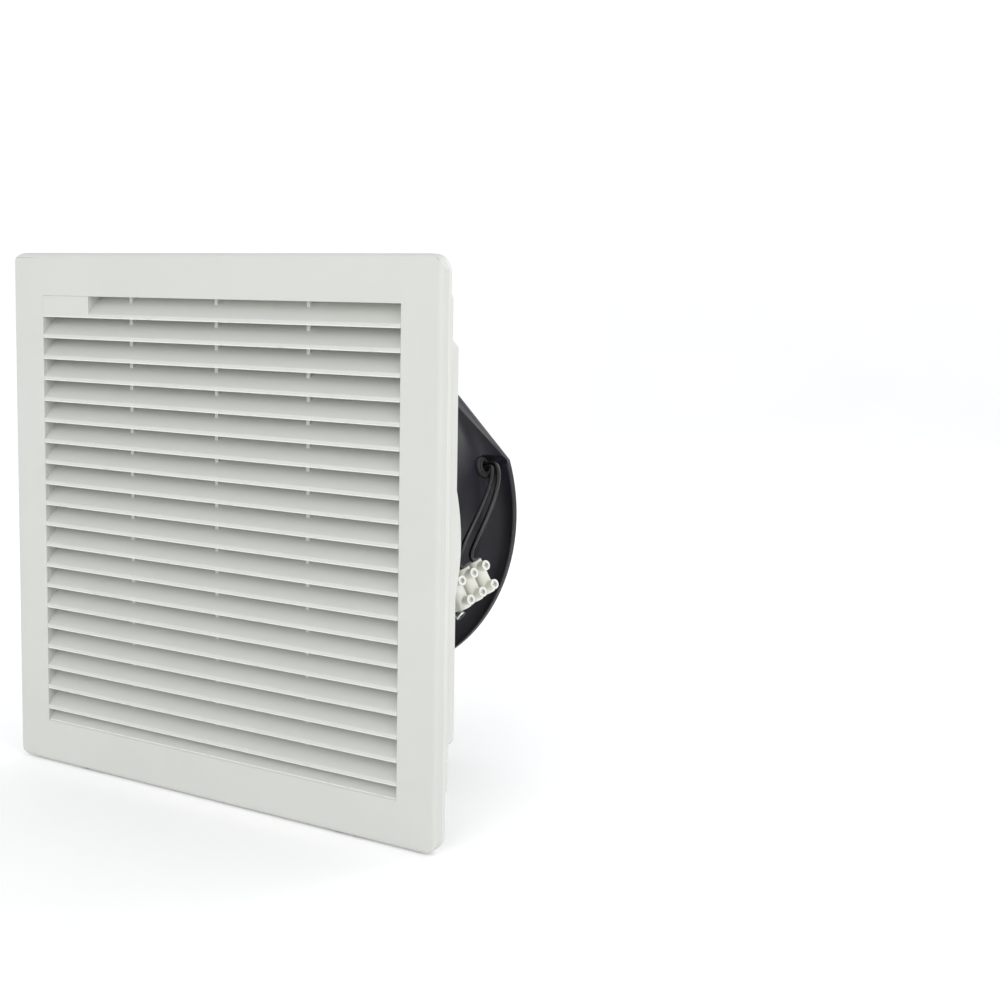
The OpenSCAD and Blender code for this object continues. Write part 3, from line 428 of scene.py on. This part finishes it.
def mat_fibre(name):
    """Loose white fibre: fine crossing threads over soft clouds."""
    material, tree, shader = start_material(name, {"Sheen Weight": 0.4, "Sheen Roughness": 0.6})
    threads = object_noise(tree, FELT_SCALE, 6.0, (1, 1, FELT_STRETCH))
    crossing = object_noise(tree, FELT_SCALE, 6.0, (FELT_STRETCH, 1, 1))
    strands = sums(tree, "MAXIMUM", threads, crossing)
    lit = ramp(tree, strands, FELT_STRAND_SPAN)
    fibre = mix_colours(tree, lit, rgba(0.40, 0.42, 0.42), rgba(0.70, 0.72, 0.71))
    clumps = ramp(tree, object_noise(tree, FELT_CLUMP_SCALE, 5.0), BLOTCH_SPAN)
    matted = sums(tree, "MULTIPLY", clumps, FELT_CLUMPS)
    join(tree, mix_colours(tree, matted, fibre, rgba(0.56, 0.57, 0.56)),
         shader.inputs["Base Color"])
    add_roughness(tree, shader, 0.75, strands, 0.2)
    add_bump(tree, shader, strands, FELT_DEPTH)
    return material


PORE_SCALE = 1400.0
PORE_SPAN = (0.1, 0.6)
PORE_DEPTH = 0.2 * MM


def seal_foam(name):
    """Dark closed-cell foam with small pores."""
    material, tree, shader = start_material(name, {})
    cells = put(tree, "ShaderNodeTexVoronoi", {"Scale": PORE_SCALE})
    join(tree, object_place(tree), cells.inputs["Vector"])
    pores = ramp(tree, cells.outputs["Distance"], PORE_SPAN)
    join(tree, mix_colours(tree, pores, rgba(0.015, 0.015, 0.016), rgba(0.06, 0.06, 0.062)),
         shader.inputs["Base Color"])
    add_roughness(tree, shader, 0.75, pores, 0.15)
    add_bump(tree, shader, pores, PORE_DEPTH)
    return material


# The violet in its clouds is a painted sheen.
def fan_black(name):
    return plastic(
        name, BLACK, (0.014, 0.012, 0.02), 0.44, (0.025, 0.025, 0.03), grain=700.0,
        depth=0.04 * MM, corner_dust_and_shade=0.08, top=0.02, dust_and_shade_colour=(0.05, 0.05, 0.05), mirror=0.28,
    )


def rotor_black(name):
    return plastic(
        name, BLACK, (0.022, 0.022, 0.024), 0.34, (0.12, 0.12, 0.12), grain=900.0, corner_dust_and_shade=0.1,
        dust_and_shade_colour=(0.09, 0.09, 0.09), coat=0.3,
    )


def blade_black(name):
    return plastic(
        name, (0.014, 0.014, 0.016), (0.024, 0.024, 0.026), 0.42, (0.07, 0.07, 0.07),
        grain=1200.0, corner_dust_and_shade=0.15, top=0.04, dust_and_shade_colour=(0.1, 0.1, 0.1),
    )


def cast_metal(name):
    return metal(
        name, (0.62, 0.63, 0.65), (0.5, 0.5, 0.52), 0.5, scale=500.0, depth=0.06 * MM,
    )


def core_steel(name):
    return banded(name, (0.42, 0.43, 0.45), (0.06, 0.06, 0.07), 0.5 * MM, 0.35, "Y")


def winding_copper(name):
    return banded(name, (0.72, 0.3, 0.12), (0.16, 0.05, 0.02), 0.6 * MM, 0.3, "DIAGONAL")


def bearing_steel(name):
    return metal(name, (0.78, 0.79, 0.8), (0.68, 0.69, 0.71), 0.2, stretch=(1, 8, 1))


def spring_steel(name):
    return metal(name, (0.18, 0.18, 0.19), (0.12, 0.12, 0.13), 0.4)


def zinc_steel(name):
    return metal(name, (0.76, 0.77, 0.78), (0.68, 0.7, 0.66), 0.3, scale=1400.0)


def guard_wire(name):
    return metal(name, (0.8, 0.81, 0.82), (0.72, 0.73, 0.74), 0.22, scale=1600.0)


def terminal_ivory(name):
    return plastic(
        name, (0.8, 0.8, 0.74), (0.76, 0.76, 0.69), 0.3, (0.9, 0.9, 0.87), grain=1100.0,
        corner_dust_and_shade=0.25, coat=0.2,
    )


def clamp_brass(name):
    return metal(name, (0.78, 0.58, 0.26), (0.66, 0.46, 0.2), 0.3, stretch=(1, 1, 6))


def lead_black(name):
    return plastic(
        name, (0.004, 0.004, 0.005), (0.007, 0.007, 0.008), 0.26, (0.01, 0.01, 0.01),
        grain=2600.0, corner_dust_and_shade=0.05, dust_and_shade_colour=(0.04, 0.04, 0.04), mirror=0.6,
    )


def grommet_rubber(name):
    return plastic(
        name, (0.02, 0.02, 0.02), (0.028, 0.028, 0.028), 0.65, (0.08, 0.08, 0.08),
        grain=900.0, depth=0.05 * MM, corner_dust_and_shade=0.2, dust_and_shade_colour=(0.12, 0.12, 0.12),
    )


FINISHES = (
    cover_plastic, frame_plastic, clip_plastic, mat_fibre, seal_foam, fan_black, rotor_black,
    blade_black, cast_metal, core_steel, winding_copper, bearing_steel, spring_steel,
    zinc_steel, guard_wire, terminal_ivory, clamp_brass, lead_black, grommet_rubber,
)
MATERIALS = {finish.__name__: finish(finish.__name__) for finish in FINISHES}


def dress_cad_nodes():
    """Gives each CAD node the material of its slot in the record."""
    for part in SUBPARTS:
        mesh = NODES[part["node"]].data
        mesh.materials.clear()
        mesh.materials.append(MATERIALS[part["material_slot"]])


def node_slot(node):
    return next(part["material_slot"] for part in SUBPARTS if part["node"] == node)


def node_body(node):
    bodies = frame["record"]["behaviour"]["bodies"]
    return next(body for body, members in bodies.items() if node in members)


ALL_SMOOTH = math.radians(180)


def finish_piece(name, bm, node, sharp_angle):
    """Makes the object that stands for a CAD node, smooth between its sharp edges."""
    mesh = bpy.data.meshes.new(name)
    bm.to_mesh(mesh)
    bm.free()
    piece = bpy.data.objects.new(name, mesh)
    SCENE.collection.objects.link(piece)
    mesh.materials.append(MATERIALS[node_slot(node)])
    mesh.polygons.foreach_set("use_smooth", [True] * len(mesh.polygons))
    mesh.set_sharp_from_angle(angle=sharp_angle)
    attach(piece, node_body(node))
    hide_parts(node)
    return piece


# Mouldings, castings and shells: the CAD shape with its edges rounded
SHARP_EDGE = math.radians(30)
WELD = 0.004 * MM
SLIVER = 0.02 * MM
EDGE_STEPS = 3


def settled_normals(bm, rounded):
    """Normals that keep flat and round faces true and bend only over the rounded edges."""
    normals = []
    for v in bm.verts:
        kept = [f for f in v.link_faces if f not in rounded] or v.link_faces
        normals.append(sum((f.normal * f.calc_area() for f in kept), Vector()).normalized())
    return normals


def soften_edges(node, name, width):
    """A copy of a CAD node with its sharp edges rounded as a moulding's are."""
    bm = bmesh.new()
    bm.from_mesh(NODES[node].data)
    bmesh.ops.remove_doubles(bm, verts=bm.verts, dist=WELD)
    bmesh.ops.dissolve_degenerate(bm, edges=bm.edges, dist=SLIVER)
    sharp = [e for e in bm.edges if e.is_manifold and e.calc_face_angle() > SHARP_EDGE]
    made = bmesh.ops.bevel(
        bm, geom=sharp, offset=width, offset_type="OFFSET", affect="EDGES",
        segments=EDGE_STEPS, profile=0.5, material=-1, clamp_overlap=False, loop_slide=False,
    )
    bm.normal_update()
    bm.verts.index_update()
    normals = settled_normals(bm, set(made["faces"]))
    piece = finish_piece(name, bm, node, ALL_SMOOTH)
    piece.data.normals_split_custom_set_from_vertices(normals)
    return piece


MOULDING_EDGE = 0.3 * MM
CASTING_EDGE = 0.45 * MM
STRIP_EDGE = 0.25 * MM
ROTOR_EDGE = 0.8 * MM
GROMMET_EDGE = 0.4 * MM
CLIP_EDGE = 0.2 * MM


def make_frame_mouldings():
    for node in ("front_cover", "louvre_grille", "mounting_flange", "mat_tray", "fan_duct"):
        soften_edges(node, node + "_moulding", MOULDING_EDGE)


def make_fan_castings():
    for node in (
        "fan_barrel", "fan_front_flange", "fan_rear_flange", "fan_bosses", "motor_bracket",
    ):
        soften_edges(node, node + "_casting", CASTING_EDGE)


def make_snap_clips():
    for side in ("upper_left", "upper_right", "lower_left", "lower_right"):
        soften_edges("snap_clip_" + side, "clip_moulding_" + side, CLIP_EDGE)


# Filter mat: a felted pad with an uneven surface and soft edges
MAT_CELLS = 70
MAT_LAYERS = 4
MAT_UNEVEN = 0.9 * MM
MAT_EDGE_ROUND = 5.0 * MM
MAT_DROOP = 1.6 * MM
MAT_BULGE = 0.8 * MM
MAT_FRAY = 0.4 * MM
MAT_PUFF_SCALE = 55.0
MAT_THREAD_SCALE = 240.0
MAT_FRAY_SCALE = 90.0
ON_EDGE = 0.01 * MM


def add_mat_block(bm, size):
    """A block with many cells across and a few layers through."""
    bmesh.ops.create_cube(bm, size=1.0)
    bmesh.ops.scale(bm, vec=size, verts=bm.verts)
    across = [e for e in bm.edges if abs(e.verts[0].co.y - e.verts[1].co.y) < MM]
    bmesh.ops.subdivide_edges(bm, edges=across, cuts=MAT_CELLS, use_grid_fill=True)
    through = [e for e in bm.edges if abs(e.verts[0].co.y - e.verts[1].co.y) > MM]
    bmesh.ops.subdivide_edges(bm, edges=through, cuts=MAT_LAYERS, use_grid_fill=True)


def ruffle_mat(v, half):
    """Moves one point of the mat: puffs and threads on its faces, a frayed and bulging edge."""
    rim = min(half.x - abs(v.co.x), half.z - abs(v.co.z))
    droop = MAT_DROOP * max(0.0, 1.0 - rim / MAT_EDGE_ROUND) ** 2
    puff = MAT_UNEVEN * (noise.noise(v.co * MAT_PUFF_SCALE) - 0.6)
    threads = MAT_UNEVEN * 0.5 * (noise.noise(v.co * MAT_THREAD_SCALE) - 0.4)
    side = v.co.y / half.y
    v.co.y += side * (puff + threads - droop)
    fray = MAT_FRAY * (1 + noise.noise(v.co * MAT_FRAY_SCALE))
    inset = MAT_BULGE * side * side + fray
    if rim < ON_EDGE:
        v.co.x -= math.copysign(inset, v.co.x) if half.x - abs(v.co.x) < ON_EDGE else 0.0
        v.co.z -= math.copysign(inset, v.co.z) if half.z - abs(v.co.z) < ON_EDGE else 0.0


def make_filter_mat():
    low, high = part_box("filter_mat")
    size = high - low
    bm = bmesh.new()
    add_mat_block(bm, size)
    for v in bm.verts:
        ruffle_mat(v, size / 2)
    bmesh.ops.translate(bm, vec=(low + high) / 2, verts=bm.verts)
    piece = finish_piece("filter_mat_pad", bm, "filter_mat", ALL_SMOOTH)
    return piece


# Impeller: a hub ring and sickle blades
HUB_R = 46.5 * MM
HUB_IN_R = 44.0 * MM
HUB_Y = 90.0 * MM
HUB_L = 42.0 * MM
HUB_LIP = 0.8 * MM
HUB_STEPS = 96
TIP_R = 95.0 * MM
BLADE_COUNT = 7
BLADE_T = 2.0 * MM
BLADE_ROOT = 1.0 * MM
BLADE_SWEEP = 34.0
BLADE_SPREAD = (40.0, 36.0)
BLADE_DEPTH = (38.0 * MM, 26.0 * MM)
BLADE_CAMBER = 4.0 * MM
BLADE_GRID = (26, 18)
BLADE_EDGE = 0.8 * MM
BLADE_SHARP = math.radians(50)
TIP_ROUND_FROM = 0.86
TIP_PINCH = 0.16
IMPELLER_SHARP = math.radians(40)


def blade_point(u, v):
    """Point of a blade's middle surface: u runs from hub to tip, v from edge to edge."""
    root_r = HUB_R - BLADE_ROOT
    radius = root_r + u * (TIP_R - root_r)
    spread = BLADE_SPREAD[0] + u * (BLADE_SPREAD[1] - BLADE_SPREAD[0])
    turn = math.radians(BLADE_SWEEP * u * u + (v - 0.5) * spread)
    depth = BLADE_DEPTH[0] + u * (BLADE_DEPTH[1] - BLADE_DEPTH[0])
    arch = BLADE_CAMBER * (1 - (2 * v - 1) ** 2)
    y = HUB_Y + HUB_L / 2 + (v - 0.5) * depth - arch
    return Vector((radius * math.cos(turn), y, radius * math.sin(turn)))


def add_blade(bm, turn):
    """A blade bent from a flat grid, given its thickness and turned to its place."""
    made = bmesh.ops.create_grid(
        bm, x_segments=BLADE_GRID[0], y_segments=BLADE_GRID[1], size=0.5,
    )
    verts = made["verts"]
    for v in verts:
        u, w = v.co.x + 0.5, v.co.y
        corner = max(0.0, u - TIP_ROUND_FROM) / (1 - TIP_ROUND_FROM)
        pinch = 0.5 - TIP_PINCH * (1 - math.sqrt(max(0.0, 1 - corner * corner)))
        v.co = blade_point(u, 0.5 + w * 2 * pinch)
    faces = list({f for v in verts for f in v.link_faces})
    solid = bmesh.ops.solidify(bm, geom=faces, thickness=BLADE_T)
    grown = [g for g in solid["geom"] if isinstance(g, bmesh.types.BMVert)]
    everything = list(set(verts) | set(grown))
    bmesh.ops.rotate(bm, verts=everything, matrix=Matrix.Rotation(-turn, 3, "Y"))


def add_hub_ring(bm):
    """The ring around the rotor cup, spun from its section."""
    profile = [
        (HUB_IN_R, HUB_Y), (HUB_R - HUB_LIP, HUB_Y), (HUB_R, HUB_Y + HUB_LIP),
        (HUB_R, HUB_Y + HUB_L - HUB_LIP), (HUB_R - HUB_LIP, HUB_Y + HUB_L),
        (HUB_IN_R, HUB_Y + HUB_L),
    ]
    ring = bmesh.new()
    corners = [ring.verts.new((r, y, 0)) for r, y in profile]
    loop = [ring.edges.new((corners[k - 1], corners[k])) for k in range(len(corners))]
    bmesh.ops.spin(
        ring, geom=corners + loop, cent=(0, 0, 0), axis=(0, 1, 0), angle=2 * math.pi,
        steps=HUB_STEPS, use_merge=True, use_duplicate=False,
    )
    bmesh.ops.remove_doubles(ring, verts=ring.verts, dist=0.001 * MM)
    bmesh.ops.recalc_face_normals(ring, faces=ring.faces)
    mesh = bpy.data.meshes.new("hub_ring")
    ring.to_mesh(mesh)
    ring.free()
    bm.from_mesh(mesh)
    bpy.data.meshes.remove(mesh)


def make_impeller():
    bm = bmesh.new()
    for k in range(BLADE_COUNT):
        add_blade(bm, 2 * math.pi * k / BLADE_COUNT)
    bmesh.ops.recalc_face_normals(bm, faces=bm.faces)
    rims = [e for e in bm.edges if e.is_manifold and e.calc_face_angle() > BLADE_SHARP]
    bmesh.ops.bevel(
        bm, geom=rims, offset=BLADE_EDGE, offset_type="OFFSET", affect="EDGES",
        segments=EDGE_STEPS, profile=0.5, material=-1, clamp_overlap=True,
    )
    add_hub_ring(bm)
    return finish_piece("impeller_moulding", bm, "impeller", IMPELLER_SHARP)


# Leads: smooth round sheaths along the routes that the CAD solids take.
# Each place is an angle around the barrel in degrees, a distance from it and a depth in mm.
BARREL_R = 101.0
GROMMET_Y = 140.0
LEAD_R = 1.5 * MM
LEAD_SIDES = 20
LEAD_STEPS = 8
LEAD_SHARP = math.radians(35)
LEAD_ROUTES = {
    "lead_live": [
        (18.5, -11.4, 1.3), (18.5, -5, 1.3), (18.5, 7, 1.3), (16.8, 12.5, -1.5),
        (12.5, 14, -6), (7, 13, -12.5), (1, 11, -19.5), (-5, 8.8, -25.5),
        (-10.8, 6.1, -25.7), (-13.4, 9.5, -24.3),
    ],
    "lead_neutral": [
        (17.5, -11.4, -1.3), (17.5, -5, -1.3), (17.5, 7, -1.6), (15.3, 10.5, -5.5),
        (10.5, 10, -12), (4.5, 8, -20.5), (-1.5, 6.3, -29), (-7.5, 5.2, -35.5),
        (-12.8, 4.7, -35.9), (-15.4, 8.3, -34.5),
    ],
}


def around_barrel(turn, lift, depth):
    """A place given by its angle around the barrel, its distance from it and its depth."""
    radius = BARREL_R + lift
    angle = math.radians(turn)
    return Vector((radius * math.cos(angle), GROMMET_Y + depth, radius * math.sin(angle))) * MM


def spline_point(points, i, t):
    """Point at share t of a smooth curve's stretch from point i to the next."""
    a, b = points[max(i - 1, 0)], points[i]
    c, d = points[i + 1], points[min(i + 2, len(points) - 1)]
    straight = (c - a) * (t / 2)
    bent = (2 * a - 5 * b + 4 * c - d) * (t * t / 2)
    twisted = (3 * b - a - 3 * c + d) * (t * t * t / 2)
    return b + straight + bent + twisted


def lead_route(node):
    points = [around_barrel(*place) for place in LEAD_ROUTES[node]]
    stretches = range(len(points) - 1)
    route = [
        spline_point(points, i, k / LEAD_STEPS) for i in stretches for k in range(LEAD_STEPS)
    ]
    return route + [points[-1]]


def sweep_tube(bm, route):
    """Sweeps a circle along a route by extruding it ring by ring, and closes both ends."""
    made = bmesh.ops.create_circle(bm, cap_ends=False, radius=LEAD_R, segments=LEAD_SIDES)
    ring_verts = made["verts"]
    ring_edges = list({e for v in ring_verts for e in v.link_edges})
    first_edges = ring_edges
    heading = (route[1] - route[0]).normalized()
    facing = (route[1] - route[0]).to_track_quat("Z", "Y").to_matrix().to_4x4()
    bmesh.ops.transform(bm, matrix=Matrix.Translation(route[0]) @ facing, verts=ring_verts)
    for k in range(1, len(route)):
        made = bmesh.ops.extrude_edge_only(bm, edges=ring_edges)
        ring_verts = [g for g in made["geom"] if isinstance(g, bmesh.types.BMVert)]
        ring_edges = [g for g in made["geom"] if isinstance(g, bmesh.types.BMEdge)]
        ahead = route[min(k + 1, len(route) - 1)] - route[k - 1]
        bend = heading.rotation_difference(ahead).to_matrix().to_4x4()
        step = Matrix.Translation(route[k]) @ bend @ Matrix.Translation(-route[k - 1])
        bmesh.ops.transform(bm, matrix=step, verts=ring_verts)
        heading = ahead.normalized()
    bmesh.ops.holes_fill(bm, edges=first_edges + ring_edges, sides=0)
    bmesh.ops.recalc_face_normals(bm, faces=bm.faces)


def make_lead(node):
    route = lead_route(node)
    bm = bmesh.new()
    sweep_tube(bm, route)
    piece = finish_piece(node + "_sheath", bm, node, LEAD_SHARP)
    return piece


# Camera at the photograph's viewing angle; the image is 1000 pixels wide
CAMERA_PLACE = Vector((0.5845, -0.6534, 0.1432))
CAMERA_AHEAD = Vector((-0.5111, 0.8537, -0.1005))
CAMERA_ROLL = math.radians(0.94)
FOCAL_PIXELS = 1471.0
SHIFT_DOWN_PIXELS = 60.0
IMAGE_PIXELS = 1000.0
SENSOR_WIDTH = 36.0
NEAR_LIMIT = 0.05


def make_camera():
    data = bpy.data.cameras.new("camera")
    data.sensor_width = SENSOR_WIDTH
    data.lens = SENSOR_WIDTH * FOCAL_PIXELS / IMAGE_PIXELS
    data.shift_y = -SHIFT_DOWN_PIXELS / IMAGE_PIXELS
    data.clip_start = NEAR_LIMIT
    camera = bpy.data.objects.new("camera", data)
    camera.location = CAMERA_PLACE
    camera.rotation_mode = "QUATERNION"
    roll = Quaternion((0, 0, 1), CAMERA_ROLL)
    camera.rotation_quaternion = CAMERA_AHEAD.to_track_quat("-Z", "Y") @ roll
    SCENE.collection.objects.link(camera)
    SCENE.camera = camera


# Studio: a pale floor that sweeps up into a wall, a white sky and three soft lamps.
# Each lamp has a place and a size in metres, and a power in watts.
SOFTBOXES = {
    "key_lamp": ((0.1, -1.7, 0.9), 1.6, 9.0),
    "side_lamp": ((1.7, -0.5, 0.7), 1.0, 7.0),
    "rear_lamp": ((0.6, 1.5, 1.1), 1.2, 8.0),
}
SKY_COLOUR = rgba(0.98, 0.99, 1.0)
SKY_STRENGTH = 0.78
FLOOR_DROP = 0.8 * MM  # room for the cover's face when it hangs open
STUDIO_R = 2.4
STUDIO_RISE = 0.9
STUDIO_H = 1.6
SWEEP_STEPS = 12
STUDIO_STEPS = 96


def make_softbox(name, place, size, power):
    """A large square lamp that faces the middle of the object."""
    data = bpy.data.lights.new(name, "AREA")
    data.shape = "SQUARE"
    data.size = size
    data.energy = power
    lamp = bpy.data.objects.new(name, data)
    lamp.location = place
    lamp.rotation_mode = "QUATERNION"
    lamp.rotation_quaternion = (-Vector(place)).to_track_quat("-Z", "Y")
    SCENE.collection.objects.link(lamp)


def floor_paper():
    material, tree, shader = start_material("floor_paper", {
        "Roughness": 0.7, "Emission Color": rgba(1.0, 1.0, 1.0), "Emission Strength": 0.13,
    })
    clouds = ramp(tree, object_noise(tree, 3.0, 3.0), BLOTCH_SPAN)
    join(tree, mix_colours(tree, clouds, rgba(0.95, 0.95, 0.95), rgba(0.935, 0.935, 0.94)),
         shader.inputs["Base Color"])
    return material


def make_backdrop():
    """A pale floor that rises in a round sweep into the wall of the studio."""
    floor_z = CAD_BOX[0].z - FLOOR_DROP
    profile = [(0.0, 0.0), (STUDIO_R, 0.0)]
    for k in range(1, SWEEP_STEPS + 1):
        turn = math.pi / 2 * k / SWEEP_STEPS
        out = STUDIO_R + STUDIO_RISE * math.sin(turn)
        profile.append((out, STUDIO_RISE * (1 - math.cos(turn))))
    profile.append((STUDIO_R + STUDIO_RISE, STUDIO_H))
    bm = bmesh.new()
    corners = [bm.verts.new((x, 0, floor_z + z)) for x, z in profile]
    path = [bm.edges.new(pair) for pair in zip(corners, corners[1:])]
    bmesh.ops.spin(
        bm, geom=corners + path, cent=(0, 0, 0), axis=(0, 0, 1), angle=2 * math.pi,
        steps=STUDIO_STEPS, use_merge=True, use_duplicate=False,
    )
    bmesh.ops.remove_doubles(bm, verts=bm.verts, dist=MM)
    bmesh.ops.recalc_face_normals(bm, faces=bm.faces)
    mesh = bpy.data.meshes.new("floor")
    bm.to_mesh(mesh)
    bm.free()
    mesh.polygons.foreach_set("use_smooth", [True] * len(mesh.polygons))
    mesh.materials.append(floor_paper())
    floor = bpy.data.objects.new("floor", mesh)
    SCENE.collection.objects.link(floor)


def make_sky():
    world = bpy.data.worlds.new("surround")
    world.use_nodes = True
    back = world.node_tree.nodes["Background"]
    back.inputs["Color"].default_value = SKY_COLOUR
    back.inputs["Strength"].default_value = SKY_STRENGTH
    SCENE.world = world


def make_studio():
    make_backdrop()
    make_sky()
    for name, (place, size, power) in SOFTBOXES.items():
        make_softbox(name, place, size, power)
    SCENE.view_settings.view_transform = "Standard"


make_camera()
dress_cad_nodes()
make_frame_mouldings()
make_fan_castings()
soften_edges("terminal_block", "terminal_strip", STRIP_EDGE)
soften_edges("rotor_cup", "rotor_shell", ROTOR_EDGE)
soften_edges("cable_grommet", "grommet_moulding", GROMMET_EDGE)
make_snap_clips()
make_filter_mat()
make_impeller()
for lead_node in LEAD_ROUTES:
    make_lead(lead_node)
make_studio()
